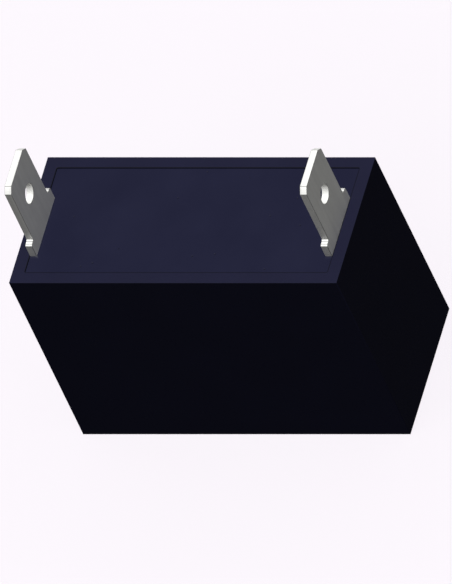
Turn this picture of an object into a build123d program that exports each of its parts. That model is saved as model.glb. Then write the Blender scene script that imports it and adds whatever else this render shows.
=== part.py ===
# Box-type motor run capacitor: an open moulded case, a flattened film winding with sprayed ends,
# two stamped terminals soldered to those ends, and the resin that is poured round all of it.
# Millimetres, +Z up, +X along the case. The origin is the centre of the case's underside.

import os

from build123d import *

# Case: a moulding with straight outer walls
case_length = 37.6
case_width = 17.0
case_height = 25.75
wall = 1.45                 # at the rim; the walls thicken downwards by the draft
floor = 1.6
outer_edge_radius = 0.05
inner_corner_radius = 0.15
draft_run = 0.18            # how far each cavity wall leans in between its straight land and the floor

# Saddle ribs on the case floor, which hold the winding off the floor and central
rib_spacing = 18.0
rib_thickness = 1.2
rib_height = 3.4
saddle_gap = 0.2

# Mark of the moulding gate under the floor
gate_recess_diameter = 4.0
gate_recess_depth = 0.3
gate_stub_diameter = 1.2
gate_stub_height = 0.2

# Resin
resin_recess = 0.15         # resin surface below the rim

# Terminals: blades of the standard 6.3 by 0.8 size, on an anchor with shoulders
blade_width = 6.3
blade_thickness = 0.8
blade_length = 8.1          # tip to the root of the shoulders
blade_offset = -0.9         # middle of the blades from the middle of the case, along Y
tip_chamfer_side = 0.7      # taken off the blade's width at each tip corner
tip_chamfer_end = 0.6       # taken off its length there
hole_diameter = 2.2
hole_from_tip = 4.3
shoulder_width = 7.9
shoulder_rise = 1.87        # root of the shoulders above the rim
corner_run = 0.23           # small facets at the root and at the outer corner of each shoulder
corner_drop = 0.14
anchor_depth = 2.2          # how far the full shoulder width goes down into the resin
anchor_radius = 0.5         # the anchor's lower corners, and the roots of the tail
tail_width = 3.4
tail_length = 0.6           # straight tail between the anchor and its step
step_in = 0.95              # step of the tail from the end wall to the winding's end
step_drop = 2.0             # height over which it steps
bend_radius = 0.8           # inside radius of the step's two bends
foot_length = 7.0           # straight foot on the sprayed end
foot_corner = 0.6

# Winding, its wrap and its sprayed ends
wrap_thickness = 0.3
spray_thickness = 0.6
side_space = 0.8            # resin between the wrap and each long wall's land
cover = 2.7                 # resin over the wrap
winding_lift = 0.8          # wrap above the case floor

# Solder over the end of each foot
solder_diameter = 6.0
solder_height = 1.3
solder_above_foot_end = 0.8

# Sizes that follow
cavity_length = case_length - 2 * wall
cavity_width = case_width - 2 * wall
resin_level = case_height - resin_recess
shoulder_root = case_height + shoulder_rise
tip_level = shoulder_root + blade_length
anchor_end = resin_level - anchor_depth
step_top = anchor_end - tail_length
step_bottom = step_top - step_drop
foot_end = step_bottom - foot_length
solder_level = foot_end + solder_above_foot_end
land_level = step_top       # the cavity's walls are straight above this, where the blades lie on them
spray_face = cavity_length / 2 - blade_thickness - step_in
winding_length = 2 * (spray_face - spray_thickness)
wrap_bottom = floor + winding_lift
wrap_height = resin_level - cover - wrap_bottom
wrap_width = cavity_width - 2 * side_space
wrap_middle = wrap_bottom + wrap_height / 2
film_height = wrap_height - 2 * wrap_thickness
film_width = wrap_width - 2 * wrap_thickness
blade_plane = cavity_length / 2 - blade_thickness / 2
foot_plane = spray_face + blade_thickness / 2

winding_end = Plane((0, 0, wrap_middle), x_dir=(0, 1, 0), z_dir=(1, 0, 0))
blade_face = Plane((0, blade_offset, 0), x_dir=(0, 1, 0), z_dir=(1, 0, 0))


# The hollow of the case up to a level: walls that lean out from the floor, then a straight land
def hollow(top):
    with BuildPart() as space:
        with BuildSketch(Plane.XY.offset(floor)):
            RectangleRounded(cavity_length - 2 * draft_run, cavity_width - 2 * draft_run, inner_corner_radius)
        with BuildSketch(Plane.XY.offset(land_level)):
            RectangleRounded(cavity_length, cavity_width, inner_corner_radius)
        loft(ruled=True)
        with BuildSketch(Plane.XY.offset(land_level)):
            RectangleRounded(cavity_length, cavity_width, inner_corner_radius)
        extrude(amount=top - land_level)
    return space.part


# The two ribs on the floor, hollowed to the round underside of the wrap
def saddles():
    with BuildPart() as ribs:
        for side in (-1, 1):
            with BuildSketch(Plane.YZ.offset(side * rib_spacing / 2)):
                with Locations((0, floor + rib_height / 2)):
                    Rectangle(cavity_width, rib_height)
            extrude(amount=rib_thickness / 2, both=True)
        with BuildSketch(winding_end):
            SlotOverall(wrap_height + 2 * saddle_gap, wrap_width + 2 * saddle_gap, rotation=90)
        extrude(amount=winding_length / 2, both=True, mode=Mode.SUBTRACT)
    return ribs.part


case_hollow = hollow(case_height)
resin_fill = hollow(resin_level)
floor_ribs = saddles()

with BuildPart() as case:
    with BuildSketch():
        Rectangle(case_length, case_width)
    extrude(amount=case_height)
    fillet(case.edges().filter_by(Axis.Z), outer_edge_radius)
    fillet(case.faces().sort_by(Axis.Z)[0].edges(), outer_edge_radius)
    add(case_hollow, mode=Mode.SUBTRACT)
    add(floor_ribs)
    with BuildSketch():
        Circle(gate_recess_diameter / 2)
        Circle(gate_stub_diameter / 2, mode=Mode.SUBTRACT)
    extrude(amount=gate_recess_depth, mode=Mode.SUBTRACT)
    with BuildSketch():
        Circle(gate_stub_diameter / 2)
    extrude(amount=gate_recess_depth - gate_stub_height, mode=Mode.SUBTRACT)
case.part.label = "case"

# The strip is drawn bent, as it is seen from the side, and its outline is then cut from it
with BuildPart() as right_terminal:
    with BuildSketch(Plane.XZ):
        with BuildLine():
            FilletPolyline(
                (blade_plane, tip_level),
                (blade_plane, step_top),
                (foot_plane, step_bottom),
                (foot_plane, foot_end),
                radius=bend_radius + blade_thickness / 2,
            )
        trace(line_width=blade_thickness)
    extrude(amount=case_width, both=True)
    with BuildSketch(blade_face) as blank:
        with BuildLine():
            half = Polyline(
                (0, tip_level),
                (blade_width / 2 - tip_chamfer_side, tip_level),
                (blade_width / 2, tip_level - tip_chamfer_end),
                (blade_width / 2, shoulder_root),
                (blade_width / 2 + corner_run, shoulder_root - corner_drop),
                (shoulder_width / 2 - corner_run, shoulder_root - corner_drop),
                (shoulder_width / 2, shoulder_root - 2 * corner_drop),
                (shoulder_width / 2, anchor_end),
                (tail_width / 2, anchor_end),
                (tail_width / 2, foot_end),
                (0, foot_end),
            )
            mirror(half, about=Plane.YZ)
        make_face()
        fillet(blank.vertices().group_by(Axis.Y)[1], anchor_radius)
        chamfer(blank.vertices().group_by(Axis.Y)[0], foot_corner)
        with Locations((0, tip_level - hole_from_tip)):
            Circle(hole_diameter / 2, mode=Mode.SUBTRACT)
    extrude(amount=case_length, mode=Mode.INTERSECT)
right_terminal.part.label = "right_terminal"

with BuildPart() as left_terminal:
    mirror(right_terminal.part, about=Plane.YZ)
left_terminal.part.label = "left_terminal"

with BuildPart() as film_winding:
    with BuildSketch(winding_end):
        SlotOverall(film_height, film_width, rotation=90)
    extrude(amount=winding_length / 2, both=True)
film_winding.part.label = "film_winding"

with BuildPart() as winding_wrap:
    with BuildSketch(winding_end):
        SlotOverall(wrap_height, wrap_width, rotation=90)
        SlotOverall(film_height, film_width, rotation=90, mode=Mode.SUBTRACT)
    extrude(amount=winding_length / 2, both=True)
winding_wrap.part.label = "winding_wrap"

with BuildPart() as right_end_spray:
    with BuildSketch(winding_end.offset(winding_length / 2)):
        SlotOverall(wrap_height, wrap_width, rotation=90)
    extrude(amount=spray_thickness)
right_end_spray.part.label = "right_end_spray"

with BuildPart() as left_end_spray:
    mirror(right_end_spray.part, about=Plane.YZ)
left_end_spray.part.label = "left_end_spray"

# A low dome on the sprayed end, run over the end of the foot
with BuildPart() as right_solder:
    with BuildSketch(Plane((spray_face, blade_offset, solder_level), x_dir=(1, 0, 0), z_dir=(0, -1, 0))):
        with BuildLine():
            Polyline((solder_height, 0), (0, 0), (0, solder_diameter / 2))
            TangentArc((solder_height, 0), (0, solder_diameter / 2), tangent=(0, 1))
        make_face()
    revolve(axis=Axis((spray_face, blade_offset, solder_level), (1, 0, 0)))
    add(right_terminal.part, mode=Mode.SUBTRACT)
right_solder.part.label = "right_solder"

with BuildPart() as left_solder:
    mirror(right_solder.part, about=Plane.YZ)
left_solder.part.label = "left_solder"

inner_pieces = [
    film_winding,
    winding_wrap,
    left_end_spray,
    right_end_spray,
    left_solder,
    right_solder,
]

# The resin fills what the ribs, the terminals and the winding leave of the hollow
with BuildPart() as potting:
    add(resin_fill)
    add(floor_ribs, mode=Mode.SUBTRACT)
    for held in [left_terminal, right_terminal, *inner_pieces]:
        add(held.part, mode=Mode.SUBTRACT)
potting.part.label = "potting"

os.makedirs("parts", exist_ok=True)
for piece in [case, potting, left_terminal, right_terminal, *inner_pieces]:
    export_step(piece.part, f"parts/{piece.part.label}.step")
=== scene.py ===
import math

import bpy
from mathutils import Matrix, Vector, noise


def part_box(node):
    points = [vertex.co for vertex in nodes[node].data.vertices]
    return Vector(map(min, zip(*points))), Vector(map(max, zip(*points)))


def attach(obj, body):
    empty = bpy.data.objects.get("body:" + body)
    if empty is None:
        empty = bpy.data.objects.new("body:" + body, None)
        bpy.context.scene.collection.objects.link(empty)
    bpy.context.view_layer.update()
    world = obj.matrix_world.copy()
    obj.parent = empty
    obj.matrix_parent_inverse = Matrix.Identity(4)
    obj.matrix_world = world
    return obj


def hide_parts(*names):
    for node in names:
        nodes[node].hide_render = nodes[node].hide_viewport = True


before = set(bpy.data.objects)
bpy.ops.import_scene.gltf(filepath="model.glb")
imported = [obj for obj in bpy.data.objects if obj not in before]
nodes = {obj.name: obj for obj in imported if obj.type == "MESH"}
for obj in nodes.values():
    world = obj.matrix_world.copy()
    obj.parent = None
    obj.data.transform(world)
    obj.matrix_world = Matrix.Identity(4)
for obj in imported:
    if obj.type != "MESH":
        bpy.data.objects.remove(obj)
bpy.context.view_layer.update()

mm = 0.001

# Sizes read from the frame, in metres
resinLow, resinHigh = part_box("potting")
bladeLow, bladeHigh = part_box("right_terminal")
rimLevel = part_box("case")[1].z
resinLevel = resinHigh.z

# A terminal's box reaches in to its foot, so the thickness of the blade is given here
bladeThickness = 0.8 * mm
bladeInnerFace = bladeHigh.x - bladeThickness

# The camera looks down on the filled mouth in parallel projection. It is turned so that the
# case's length lies level in the picture
view = {
    "azimuth": 34.24,            # degrees round from the front, towards the right end
    "elevation": 46.17,
    "pixelsPerMetre": 9459.0,
    "imageWidth": 452,
    "imageHeight": 584,
    "originPixelX": 266.37,      # where the middle of the case's underside shows
    "originPixelY": 371.47,
    "distance": 0.4,
    "nearest": 0.01,             # what is nearer or farther than these isn't drawn
    "farthest": 10,
}


def addCamera():
    azimuth = math.radians(view["azimuth"])
    elevation = math.radians(view["elevation"])
    back = Vector((
        math.sin(azimuth) * math.cos(elevation),
        -math.cos(azimuth) * math.cos(elevation),
        math.sin(elevation),
    ))
    up = Vector((0, back.z, -back.y)).normalized()
    right = up.cross(back)
    across = (view["imageWidth"] / 2 - view["originPixelX"]) / view["pixelsPerMetre"]
    above = (view["originPixelY"] - view["imageHeight"] / 2) / view["pixelsPerMetre"]
    data = bpy.data.cameras.new("photoCamera")
    data.type = "ORTHO"
    data.ortho_scale = view["imageHeight"] / view["pixelsPerMetre"]
    data.clip_start = view["nearest"]
    data.clip_end = view["farthest"]
    camera = bpy.data.objects.new("photoCamera", data)
    bpy.context.scene.collection.objects.link(camera)
    camera.matrix_world = Matrix((right, up, back)).transposed().to_4x4()
    camera.location = right * across + up * above + back * view["distance"]
    bpy.context.scene.camera = camera


# A pale room gives even light, strongest from the horizon to half height. The lamp shines
# straight down, reaches only what faces up, and casts no shadow
light = {
    "room": (                    # height of the direction, from -1 to 1, and the radiance there
        (-0.25, 0.09),
        (0.0, 0.38),
        (0.5, 0.38),
        (0.85, 0.15),
    ),
    "backdrop": (0.973, 0.930, 0.982),    # what the camera sees in place of the room
    "brightSide": (-0.56, -0.83, 0),
    "brightSideShare": 0.35,     # how much brighter the room is there, and darker opposite
    "overhead": 6.4,
    "overheadSpread": 8,         # degrees that the lamp spans
}


def addRoom():
    world = bpy.data.worlds.new("paleRoom")
    bpy.context.scene.world = world
    world.use_nodes = True
    tree = world.node_tree
    tree.nodes.clear()
    output = tree.nodes.new("ShaderNodeOutputWorld")
    room = tree.nodes.new("ShaderNodeBackground")
    backdrop = tree.nodes.new("ShaderNodeBackground")
    choose = tree.nodes.new("ShaderNodeMixShader")
    path = tree.nodes.new("ShaderNodeLightPath")
    place = tree.nodes.new("ShaderNodeTexCoord")
    split = tree.nodes.new("ShaderNodeSeparateXYZ")
    height = tree.nodes.new("ShaderNodeMapRange")
    height.inputs["From Min"].default_value = -1
    height.inputs["From Max"].default_value = 1
    ramp = tree.nodes.new("ShaderNodeValToRGB")
    ramp.color_ramp.interpolation = "EASE"
    stops = ramp.color_ramp.elements
    while len(stops) < len(light["room"]):
        stops.new(1)
    for stop, (level, radiance) in zip(stops, light["room"]):
        stop.position = (level + 1) / 2
        stop.color = (radiance, radiance, radiance, 1)
    towards = tree.nodes.new("ShaderNodeVectorMath")
    towards.operation = "DOT_PRODUCT"
    towards.inputs[1].default_value = shade(light["brightSide"], light["brightSideShare"])
    side = tree.nodes.new("ShaderNodeMath")
    side.operation = "ADD"
    side.inputs[1].default_value = 1
    backdrop.inputs["Color"].default_value = (*light["backdrop"], 1)
    tree.links.new(place.outputs["Generated"], split.inputs[0])
    tree.links.new(place.outputs["Generated"], towards.inputs[0])
    tree.links.new(split.outputs["Z"], height.inputs["Value"])
    tree.links.new(height.outputs["Result"], ramp.inputs["Fac"])
    tree.links.new(towards.outputs["Value"], side.inputs[0])
    tree.links.new(ramp.outputs["Color"], room.inputs["Color"])
    tree.links.new(side.outputs["Value"], room.inputs["Strength"])
    tree.links.new(path.outputs["Is Camera Ray"], choose.inputs["Fac"])
    tree.links.new(room.outputs[0], choose.inputs[1])
    tree.links.new(backdrop.outputs[0], choose.inputs[2])
    tree.links.new(choose.outputs[0], output.inputs["Surface"])


def addLamp():
    lamp = bpy.data.lights.new("overheadLamp", "SUN")
    lamp.energy = light["overhead"]
    lamp.angle = math.radians(light["overheadSpread"])
    lamp.use_shadow = False
    overhead = bpy.data.objects.new("overheadLamp", lamp)
    bpy.context.scene.collection.objects.link(overhead)


# Finishes. Every pattern reads object coordinates, so its scale is in waves a metre
def newFinish(name, colour, roughness=0.5, metallic=0.0, specular=0.5):
    finish = bpy.data.materials.new(name)
    finish.use_nodes = True
    shader = finish.node_tree.nodes["Principled BSDF"]
    shader.inputs["Base Color"].default_value = (*colour, 1)
    shader.inputs["Roughness"].default_value = roughness
    shader.inputs["Metallic"].default_value = metallic
    shader.inputs["Specular IOR Level"].default_value = specular
    return finish, finish.node_tree, shader


# Noise with as many waves a metre in every direction, or with a number of waves for each axis
def addNoise(tree, waves, detail=2.0, softness=0.5):
    place = tree.nodes.new("ShaderNodeTexCoord")
    scale = tree.nodes.new("ShaderNodeMapping")
    scale.inputs["Scale"].default_value = waves if isinstance(waves, tuple) else (waves,) * 3
    pattern = tree.nodes.new("ShaderNodeTexNoise")
    pattern.inputs["Scale"].default_value = 1.0
    pattern.inputs["Detail"].default_value = detail
    pattern.inputs["Roughness"].default_value = softness
    tree.links.new(place.outputs["Object"], scale.inputs["Vector"])
    tree.links.new(scale.outputs["Vector"], pattern.inputs["Vector"])
    return pattern.outputs["Fac"]


# Goes from low to high as the value goes from one end to the other. Most of a noise lies
# between 0.3 and 0.7
def addRange(tree, value, low, high, fromLow=0.3, fromHigh=0.7):
    spread = tree.nodes.new("ShaderNodeMapRange")
    spread.inputs["From Min"].default_value = fromLow
    spread.inputs["From Max"].default_value = fromHigh
    spread.inputs["To Min"].default_value = low
    spread.inputs["To Max"].default_value = high
    tree.links.new(value, spread.inputs["Value"])
    return spread.outputs["Result"]


def addBlend(tree, share, first, second):
    blend = tree.nodes.new("ShaderNodeMix")
    blend.data_type = "RGBA"
    blend.inputs["A"].default_value = (*first, 1)
    blend.inputs["B"].default_value = (*second, 1)
    tree.links.new(share, blend.inputs["Factor"])
    return blend.outputs["Result"]


def addProduct(tree, first, second):
    product = tree.nodes.new("ShaderNodeMix")
    product.data_type = "RGBA"
    product.blend_type = "MULTIPLY"
    product.inputs["Factor"].default_value = 1
    tree.links.new(first, product.inputs["A"])
    tree.links.new(second, product.inputs["B"])
    return product.outputs["Result"]


def shade(colour, factor):
    return tuple(c * factor for c in colour)


# A colour times the first tone where the noise is low, and times the second where it is high
def addTones(tree, pattern, colour, tones):
    share = addRange(tree, pattern, 0, 1)
    return addBlend(tree, share, shade(colour, tones[0]), shade(colour, tones[1]))


# The bump goes over the one under it, if there is one
def addBump(tree, height, depth, strength, under=None):
    bump = tree.nodes.new("ShaderNodeBump")
    bump.inputs["Strength"].default_value = strength
    bump.inputs["Distance"].default_value = depth
    tree.links.new(height, bump.inputs["Height"])
    if under:
        tree.links.new(under, bump.inputs["Normal"])
    return bump.outputs["Normal"]


white = (1, 1, 1)

plasticLook = {
    "colour": (0.0045, 0.0047, 0.0151),
    "specular": 0.065,
    "roughness": (0.46, 0.6),
    "flowWaves": 160,            # broad, faint unevenness of the moulding
    "flowTones": (0.94, 1.06),
    "flowDepth": 0.02 * mm,
    "flowStrength": 0.3,
    "grainWaves": 6500,          # a fine spark-eroded grain
    "grainDepth": 0.010 * mm,
    "grainStrength": 0.7,
}


def mouldedPlastic(name="mouldedPlastic", tone=1.0):
    look = plasticLook
    base = shade(look["colour"], tone)
    finish, tree, shader = newFinish(name, base, specular=look["specular"])
    flow = addNoise(tree, look["flowWaves"], detail=3)
    grain = addNoise(tree, look["grainWaves"], detail=2)
    tree.links.new(addTones(tree, flow, base, look["flowTones"]), shader.inputs["Base Color"])
    tree.links.new(addRange(tree, grain, *look["roughness"]), shader.inputs["Roughness"])
    broad = addBump(tree, flow, look["flowDepth"], look["flowStrength"])
    grained = addBump(tree, grain, look["grainDepth"], look["grainStrength"], broad)
    tree.links.new(grained, shader.inputs["Normal"])
    return finish


resinLook = {
    "colour": (0.0064, 0.0068, 0.0176),
    "specular": 0.05,
    "roughness": (0.34, 0.4),
    "cloudWaves": 168,
    "cloudTones": (0.95, 1.05),
    "rippleWaves": 420,
    "rippleDepth": 0.015 * mm,
    "rippleStrength": 0.4,
    "pinholeWaves": 800,         # cells a metre, of which few hold a pinhole
    "pinholeShare": 0.035,
    "pinholeStep": 0.001,        # small, so that a cell has a whole pinhole or none
    "pinholeReach": (0.05, 0.09),    # in cells, from its flat bottom to its lip
    "pinholeShadeTone": 0.55,
    "pinholeDepth": 0.03 * mm,
    "pinholeStrength": 0.6,
}


# One in the pinholes and zero elsewhere. Each cell has a colour at random, which picks the few
def addPinholes(tree):
    place = tree.nodes.new("ShaderNodeTexCoord")
    cells = tree.nodes.new("ShaderNodeTexVoronoi")
    cells.voronoi_dimensions = "2D"
    cells.inputs["Scale"].default_value = resinLook["pinholeWaves"]
    pick = tree.nodes.new("ShaderNodeSeparateColor")
    tree.links.new(place.outputs["Object"], cells.inputs["Vector"])
    tree.links.new(cells.outputs["Color"], pick.inputs["Color"])
    share = resinLook["pinholeShare"]
    chosen = addRange(tree, pick.outputs[0], 1, 0, share, share + resinLook["pinholeStep"])
    inside = addRange(tree, cells.outputs["Distance"], 1, 0, *resinLook["pinholeReach"])
    both = tree.nodes.new("ShaderNodeMath")
    both.operation = "MULTIPLY"
    tree.links.new(chosen, both.inputs[0])
    tree.links.new(inside, both.inputs[1])
    return both.outputs["Value"]


def pottingResin():
    look = resinLook
    finish, tree, shader = newFinish("pottingResin", look["colour"], specular=look["specular"])
    ripple = addNoise(tree, look["rippleWaves"], detail=1)
    cloud = addNoise(tree, look["cloudWaves"], detail=3)
    pinholes = addPinholes(tree)
    clouded = addTones(tree, cloud, look["colour"], look["cloudTones"])
    # painted shade: the pinholes are darkened, standing in for the shade inside the pits
    pinholeShade = addBlend(tree, pinholes, white, shade(white, look["pinholeShadeTone"]))
    tree.links.new(addProduct(tree, clouded, pinholeShade), shader.inputs["Base Color"])
    tree.links.new(addRange(tree, cloud, *look["roughness"]), shader.inputs["Roughness"])
    rippled = addBump(tree, ripple, look["rippleDepth"], look["rippleStrength"])
    sunk = addRange(tree, pinholes, 1, 0, 0, 1)
    holed = addBump(tree, sunk, look["pinholeDepth"], look["pinholeStrength"], rippled)
    tree.links.new(holed, shader.inputs["Normal"])
    return finish


tinLook = {
    "colour": (0.835, 0.835, 0.81),
    "metallic": 0.3,
    "roughness": (0.4, 0.58),
    "rollWaves": (2400, 2400, 90),    # rolling marks run up the blade
    "rollTones": (0.96, 1.03),
    "rollDepth": 0.01 * mm,
    "rollStrength": 0.35,
    "mottleWaves": 600,
    "mottleTones": (0.97, 1),
}


def tinPlate():
    look = tinLook
    finish, tree, shader = newFinish("tinPlate", look["colour"], metallic=look["metallic"])
    rolling = addNoise(tree, look["rollWaves"], detail=4, softness=0.65)
    mottle = addNoise(tree, look["mottleWaves"], detail=4)
    streaks = addTones(tree, rolling, look["colour"], look["rollTones"])
    clouds = addTones(tree, mottle, white, look["mottleTones"])
    tree.links.new(addProduct(tree, streaks, clouds), shader.inputs["Base Color"])
    tree.links.new(addRange(tree, rolling, *look["roughness"]), shader.inputs["Roughness"])
    rolled = addBump(tree, rolling, look["rollDepth"], look["rollStrength"])
    tree.links.new(rolled, shader.inputs["Normal"])
    return finish


# The stamped edges: a smooth burnished band beside a duller fracture, scored across
shearedLook = {
    "tone": 0.715,               # of the tin's colour
    "roughness": (0.36, 0.62),   # of the burnished band and of the fracture
    "burnishedShare": 0.35,      # of the thickness, from the blade's inner face
    "fractureTone": 0.9,
    "fractureBorder": 0.08 * mm,
    "scoreWaves": (300, 8000, 8000),  # shearing marks run through the thickness
    "scoreTones": (0.92, 1),
    "scoreDepth": 0.012 * mm,
    "scoreStrength": 0.5,
}


def shearedTin():
    look = shearedLook
    base = shade(tinLook["colour"], look["tone"])
    finish, tree, shader = newFinish("shearedTin", base, metallic=tinLook["metallic"])
    place = tree.nodes.new("ShaderNodeTexCoord")
    split = tree.nodes.new("ShaderNodeSeparateXYZ")
    side = tree.nodes.new("ShaderNodeMath")
    side.operation = "ABSOLUTE"
    tree.links.new(place.outputs["Object"], split.inputs[0])
    tree.links.new(split.outputs["X"], side.inputs[0])
    border = bladeInnerFace + bladeThickness * look["burnishedShare"]
    half = look["fractureBorder"] / 2
    fracture = addRange(tree, side.outputs["Value"], 0, 1, border - half, border + half)
    scores = addNoise(tree, look["scoreWaves"], detail=3)
    zones = addBlend(tree, fracture, base, shade(base, look["fractureTone"]))
    marks = addTones(tree, scores, white, look["scoreTones"])
    tree.links.new(addProduct(tree, zones, marks), shader.inputs["Base Color"])
    tree.links.new(addRange(tree, fracture, *look["roughness"], 0, 1), shader.inputs["Roughness"])
    scored = addBump(tree, scores, look["scoreDepth"], look["scoreStrength"])
    tree.links.new(scored, shader.inputs["Normal"])
    return finish


# The sharp corners, where the tin is rubbed off and the metal is dark
wornLook = {
    "tone": 0.13,                # of the tin's colour
    "tones": (0.8, 1.25),
    "roughness": (0.45, 0.65),
    "waves": 1800,
}


def wornTin():
    look = wornLook
    base = shade(tinLook["colour"], look["tone"])
    finish, tree, shader = newFinish("wornTin", base, metallic=tinLook["metallic"])
    rubbed = addNoise(tree, look["waves"], detail=3)
    tree.links.new(addTones(tree, rubbed, base, look["tones"]), shader.inputs["Base Color"])
    tree.links.new(addRange(tree, rubbed, *look["roughness"]), shader.inputs["Roughness"])
    return finish


# The sealed pieces keep finishes of their own, for a model that is cut open
filmLook = {
    "dark": (0.6, 0.61, 0.64),
    "light": (0.76, 0.77, 0.8),
    "roughness": 0.3,
    "metallic": 0.8,
    "waves": (300, 12000, 12000),     # the edges of the turns
    "detail": 2,
    "softness": 0.5,
    "depth": 0.01 * mm,
    "strength": 0.4,
}

wrapLook = {
    "dark": (0.76, 0.73, 0.64),
    "light": (0.86, 0.84, 0.77),
    "roughness": 0.28,
    "metallic": 0.0,
    "waves": (260, 900, 900),         # creases
    "detail": 3,
    "softness": 0.5,
    "depth": 0.03 * mm,
    "strength": 0.4,
}

zincLook = {
    "dark": (0.32, 0.33, 0.35),
    "light": (0.56, 0.57, 0.58),
    "roughness": 0.75,
    "metallic": 0.6,
    "waves": 5000,                    # splashes of sprayed metal
    "detail": 5,
    "softness": 0.65,
    "depth": 0.06 * mm,
    "strength": 0.9,
}

solderLook = {
    "colour": (0.7, 0.7, 0.7),
    "roughness": (0.2, 0.4),
    "metallic": 0.9,
    "waves": 1600,
    "depth": 0.02 * mm,
    "strength": 0.4,
}


def sealedFinish(name, look):
    finish, tree, shader = newFinish(name, look["light"], look["roughness"], look["metallic"])
    pattern = addNoise(tree, look["waves"], look["detail"], look["softness"])
    colour = addBlend(tree, addRange(tree, pattern, 0, 1), look["dark"], look["light"])
    tree.links.new(colour, shader.inputs["Base Color"])
    uneven = addBump(tree, pattern, look["depth"], look["strength"])
    tree.links.new(uneven, shader.inputs["Normal"])
    return finish


def solderFinish():
    look = solderLook
    finish, tree, shader = newFinish("solderFinish", look["colour"], metallic=look["metallic"])
    cooled = addNoise(tree, look["waves"], detail=3)
    tree.links.new(addRange(tree, cooled, *look["roughness"]), shader.inputs["Roughness"])
    uneven = addBump(tree, cooled, look["depth"], look["strength"])
    tree.links.new(uneven, shader.inputs["Normal"])
    return finish


floorLook = {
    "size": 1.0,
    "below": 0.02 * mm,          # clear of the case's underside, which would flicker in it
    "colour": (0.432, 0.413, 0.436),
    "roughness": 0.9,
    "waves": 60,
    "tones": (0.997, 1.003),
}


def addFloor():
    look = floorLook
    bpy.ops.mesh.primitive_plane_add(size=look["size"], location=(0, 0, -look["below"]))
    floor = bpy.context.active_object
    floor.name = "paleFloor"
    finish, tree, shader = newFinish("paleFloor", look["colour"], look["roughness"], specular=0)
    cloud = addNoise(tree, look["waves"])
    darker, lighter = (shade(look["colour"], tone) for tone in look["tones"])
    tree.links.new(addBlend(tree, cloud, darker, lighter), shader.inputs["Base Color"])
    floor.data.materials.append(finish)
    floor.visible_diffuse = False    # its light would turn the black sides grey
    floor.visible_glossy = False
    print("the floor is laid")


cleaning = {
    "mergeWithin": 0.0005 * mm,
    "cutWithin": 0.001 * mm,     # a corner this near to a cut lies on it
    "flatWithin": 0.2,           # degrees between faces that become one
}


# Copies a CAD node and cleans it, ready for its small edge roundings. One cut through the middle
# stays in, so that a face with a hole in it is two clean halves
def copyNode(nodeName, pieceName, finishes, cutPoint, cutNormal):
    bpy.ops.object.select_all(action="DESELECT")
    piece = bpy.data.objects.new(pieceName, nodes[nodeName].data.copy())
    bpy.context.scene.collection.objects.link(piece)
    piece.data.materials.clear()
    for finish in finishes:
        piece.data.materials.append(finish)
    piece.select_set(True)
    bpy.context.view_layer.objects.active = piece
    bpy.ops.mesh.customdata_custom_splitnormals_clear()
    bpy.ops.object.mode_set(mode="EDIT")
    bpy.ops.mesh.select_all(action="SELECT")
    bpy.ops.mesh.remove_doubles(threshold=cleaning["mergeWithin"])
    bpy.ops.mesh.select_mode(type="EDGE")
    bpy.ops.mesh.select_all(action="SELECT")
    bpy.ops.mesh.bisect(plane_co=cutPoint, plane_no=cutNormal, threshold=cleaning["cutWithin"])
    bpy.ops.mesh.mark_seam()
    bpy.ops.mesh.select_all(action="SELECT")
    flat = math.radians(cleaning["flatWithin"])
    bpy.ops.mesh.dissolve_limited(angle_limit=flat, delimit={"SEAM"})
    bpy.ops.object.mode_set(mode="OBJECT")
    return piece


# Rounds the wanted edges that turn by more than so many degrees. The rounding takes the
# finish in that slot of the piece
def roundEdges(piece, wanted, width, slot, segments=1, turnsOver=30, profile=0.5):
    mesh = piece.data
    bpy.ops.object.mode_set(mode="EDIT")
    bpy.ops.mesh.select_mode(type="EDGE")
    bpy.ops.mesh.select_all(action="DESELECT")
    bpy.ops.object.mode_set(mode="OBJECT")
    sides = {}
    for polygon in mesh.polygons:
        for key in polygon.edge_keys:
            sides.setdefault(key, []).append(polygon.normal)
    for edge in mesh.edges:
        touching = sides.get(edge.key, [])
        turn = touching[0].angle(touching[1], 0) if len(touching) == 2 else 0
        ends = [mesh.vertices[i].co for i in edge.vertices]
        edge.select = turn > math.radians(turnsOver) and wanted(*ends)
    bpy.ops.object.mode_set(mode="EDIT")
    bpy.ops.mesh.bevel(
        offset=width,
        segments=segments,
        profile=profile,
        affect="EDGES",
        material=slot,
    )
    bpy.ops.object.mode_set(mode="OBJECT")


# A piece that stands for no node lies over one that stays
def finishPiece(piece, nodeName, smoothBelow):
    bpy.ops.object.select_all(action="DESELECT")
    piece.select_set(True)
    bpy.context.view_layer.objects.active = piece
    bpy.ops.object.shade_smooth_by_angle(angle=math.radians(smoothBelow))
    bpy.ops.object.modifier_add(type="WEIGHTED_NORMAL")
    piece.modifiers[-1].keep_sharp = True    # large faces stay evenly lit up to their roundings
    bpy.ops.object.modifier_apply(modifier=piece.modifiers[-1].name)
    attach(piece, "root")
    if nodeName:
        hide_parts(nodeName)


caseEdges = {
    "outerRim": 0.03 * mm,
    "innerRim": 0.03 * mm,
    "paintedShadeStrip": 0.08 * mm,          # painted shade: a dark strip on the rim beside the mouth, standing in for the shade line of the recess
    "paintedShadeTone": 0.2,
    "segments": 2,
    "near": 0.02 * mm,           # corners this near to the rim's level or the mouth belong to it
    "smoothBelow": 40,           # degrees
}


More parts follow.
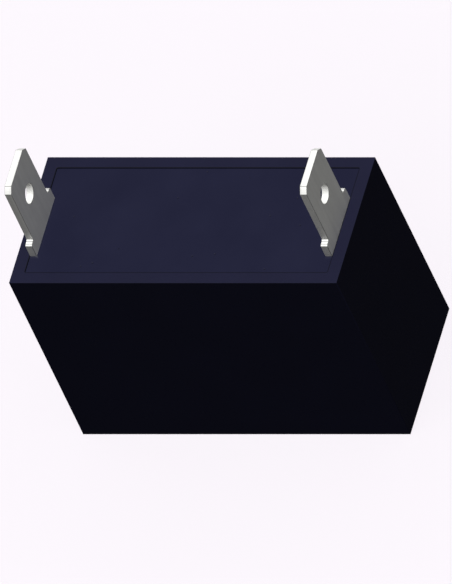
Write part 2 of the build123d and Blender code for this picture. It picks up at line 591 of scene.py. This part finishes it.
def makeCase(plastic):
    # painted shade: a darker copy of the plastic, laid on the strip and the inner rounding beside
    # the mouth, stands in for the shade line of the recess
    paintedShade = mouldedPlastic("paintedShadePlastic", caseEdges["paintedShadeTone"])
    piece = copyNode("case", "caseMoulding", [plastic, paintedShade], (0, 0, 0), (1, 0, 0))
    plasticSlot, paintedShadeSlot = range(2)
    near = caseEdges["near"]

    def inMouth(end):
        return abs(end.x) < resinHigh.x + near and abs(end.y) < resinHigh.y + near

    def atRim(*ends):
        return all(abs(end.z - rimLevel) < near for end in ends)

    def atMouth(*ends):
        return atRim(*ends) and all(inMouth(end) for end in ends)

    def atOutside(*ends):
        return atRim(*ends) and not atMouth(*ends)

    # The square profile leaves the corner where it is and lays a flat strip on each side of it
    segments = caseEdges["segments"]
    # The strip and the inner rounding beside the mouth take the painted shade
    roundEdges(piece, atMouth, caseEdges["paintedShadeStrip"], paintedShadeSlot, segments, profile=1)
    roundEdges(piece, atMouth, caseEdges["innerRim"], paintedShadeSlot, segments)
    roundEdges(piece, atOutside, caseEdges["outerRim"], plasticSlot, segments)
    finishPiece(piece, "case", caseEdges["smoothBelow"])
    print("the case's rim is rounded and stained")


bladeEdges = {
    "width": 0.04 * mm,
    "turnsOver": 20,             # degrees, so that the shoulders' facets get theirs too
    "holeWidth": 0.03 * mm,
    "holeTurnsOver": 60,         # leaves the facets of the hole's wall alone
    "holeFromTip": 4.3 * mm,
    "holeReach": 1.5 * mm,       # from the hole's middle to beyond its edge
    "edgeOn": 0.1,               # the X part of a stamped edge's normal stays under this
    "underResin": 1 * mm,        # how far down the stamped edges keep their finish
    "smoothBelow": 24,
}


def makeBlades(tin):
    sheared, worn = shearedTin(), wornTin()
    tinSlot, wornSlot, shearedSlot = range(3)
    hole = Vector(((bladeLow.y + bladeHigh.y) / 2, bladeHigh.z - bladeEdges["holeFromTip"]))
    shearedFrom = resinLevel - bladeEdges["underResin"]

    def atHole(*ends):
        return all((end.yz - hole).length < bladeEdges["holeReach"] for end in ends)

    def atOutline(*ends):
        return max(end.z for end in ends) > resinLevel and not atHole(*ends)

    for nodeName, pieceName in (("left_terminal", "leftBlade"), ("right_terminal", "rightBlade")):
        piece = copyNode(nodeName, pieceName, [tin, worn, sheared], (0, hole.x, 0), (0, 1, 0))
        for polygon in piece.data.polygons:
            stamped = abs(polygon.normal.x) < bladeEdges["edgeOn"]
            seen = polygon.center.z > shearedFrom
            polygon.material_index = shearedSlot if stamped and seen else tinSlot
        width, turnsOver = bladeEdges["width"], bladeEdges["turnsOver"]
        holeWidth, holeTurnsOver = bladeEdges["holeWidth"], bladeEdges["holeTurnsOver"]
        roundEdges(piece, atHole, holeWidth, wornSlot, turnsOver=holeTurnsOver)
        roundEdges(piece, atOutline, width, wornSlot, turnsOver=turnsOver)
        finishPiece(piece, nodeName, bladeEdges["smoothBelow"])
    print("the blades' edges are rounded and worn")


resinSkin = {
    "thickness": 0.05 * mm,
    "lift": 0.004 * mm,          # lowest part of its top, above the block of resin
    "ripple": 0.006 * mm,
    "rippleLength": 5 * mm,
    "wallClimb": 0.015 * mm,     # where it wets the case
    "bladeClimb": 0.10 * mm,     # and the blades
    "reach": 0.16 * mm,          # distance over which the climb dies away
    "spacing": 1.2 * mm,
    "closeLines": (              # more lines at these distances from the walls and the blades
        0.04 * mm,
        0.09 * mm,
        0.16 * mm,
        0.28 * mm,
        0.5 * mm,
        0.8 * mm,
    ),
    "margin": 0.01 * mm,         # no line comes nearer to the outline
    "smoothBelow": 80,
}


def distanceToBlade(x, y):
    inwards = max(bladeInnerFace - abs(x), 0)
    sideways = max(bladeLow.y - y, y - bladeHigh.y, 0)
    return math.hypot(inwards, sideways)


def resinHeight(x, y):
    reach = resinSkin["reach"]
    wall = min(resinHigh.x - abs(x), resinHigh.y - abs(y))
    wallClimb = resinSkin["wallClimb"] * math.exp(-wall / reach)
    bladeClimb = resinSkin["bladeClimb"] * math.exp(-distanceToBlade(x, y) / reach)
    place = Vector((x, y, 0)) / resinSkin["rippleLength"]
    ripple = resinSkin["ripple"] * (0.5 + 0.5 * noise.noise(place))
    return resinLevel + resinSkin["lift"] + ripple + max(wallClimb, bladeClimb)


# Even lines, and close ones beside each stop on the side where the resin lies. Rounding to a
# micrometre drops lines that come twice
def linesAcross(low, high, stops):
    spacing, margin = resinSkin["spacing"], resinSkin["margin"]
    lines = {round(low + i * spacing, 6) for i in range(1, int((high - low) / spacing) + 1)}
    for stop, side in stops:
        lines.add(round(stop, 6))
        lines.update(round(stop + side * step, 6) for step in resinSkin["closeLines"])
    return sorted(line for line in lines if low + margin < line < high - margin)


def cutAcross(axis, lines):
    for line in lines:
        point = [0, 0, 0]
        normal = [0, 0, 0]
        point[axis] = line
        normal[axis] = 1
        bpy.ops.mesh.select_all(action="SELECT")
        bpy.ops.mesh.bisect(plane_co=point, plane_no=normal, threshold=cleaning["cutWithin"])


def makeResinSkin(resin):
    low, high = resinLow, resinHigh
    thickness = resinSkin["thickness"]
    middle = ((low.x + high.x) / 2, (low.y + high.y) / 2, resinLevel - thickness / 2)
    size = (high.x - low.x, high.y - low.y, thickness)
    bpy.ops.object.select_all(action="DESELECT")
    bpy.ops.mesh.primitive_cube_add(size=1, location=middle, scale=size)
    piece = bpy.context.active_object
    piece.name = "resinSurface"
    bpy.ops.object.transform_apply(location=True, rotation=False, scale=True)
    alongStops = [(low.x, 1), (high.x, -1), (bladeInnerFace, -1), (-bladeInnerFace, 1)]
    acrossStops = [(low.y, 1), (high.y, -1), (bladeLow.y, -1), (bladeHigh.y, 1)]
    bpy.ops.object.mode_set(mode="EDIT")
    cutAcross(0, linesAcross(low.x, high.x, alongStops))
    cutAcross(1, linesAcross(low.y, high.y, acrossStops))
    bpy.ops.object.mode_set(mode="OBJECT")
    for vertex in piece.data.vertices:
        if vertex.co.z > resinLevel - thickness / 2:
            vertex.co.z = resinHeight(vertex.co.x, vertex.co.y)
    piece.data.materials.append(resin)
    finishPiece(piece, None, resinSkin["smoothBelow"])
    print("the resin's surface is shaped:", len(piece.data.polygons), "faces")


bpy.context.scene.view_settings.view_transform = "Standard"
addCamera()
addRoom()
addLamp()
print("camera and lights are set")
addFloor()
plastic, resin, tin = mouldedPlastic(), pottingResin(), tinPlate()
makeCase(plastic)
makeBlades(tin)
makeResinSkin(resin)

film = sealedFinish("metallisedFilm", filmLook)
wrap = sealedFinish("wrapFilm", wrapLook)
zinc = sealedFinish("sprayedZinc", zincLook)
solder = solderFinish()
nodeFinishes = {
    "case": plastic,
    "potting": resin,
    "left_terminal": tin,
    "right_terminal": tin,
    "film_winding": film,
    "winding_wrap": wrap,
    "left_end_spray": zinc,
    "right_end_spray": zinc,
    "left_solder": solder,
    "right_solder": solder,
}
for nodeName, finish in nodeFinishes.items():
    nodes[nodeName].material_slots[0].material = finish
print("every piece has its finish")
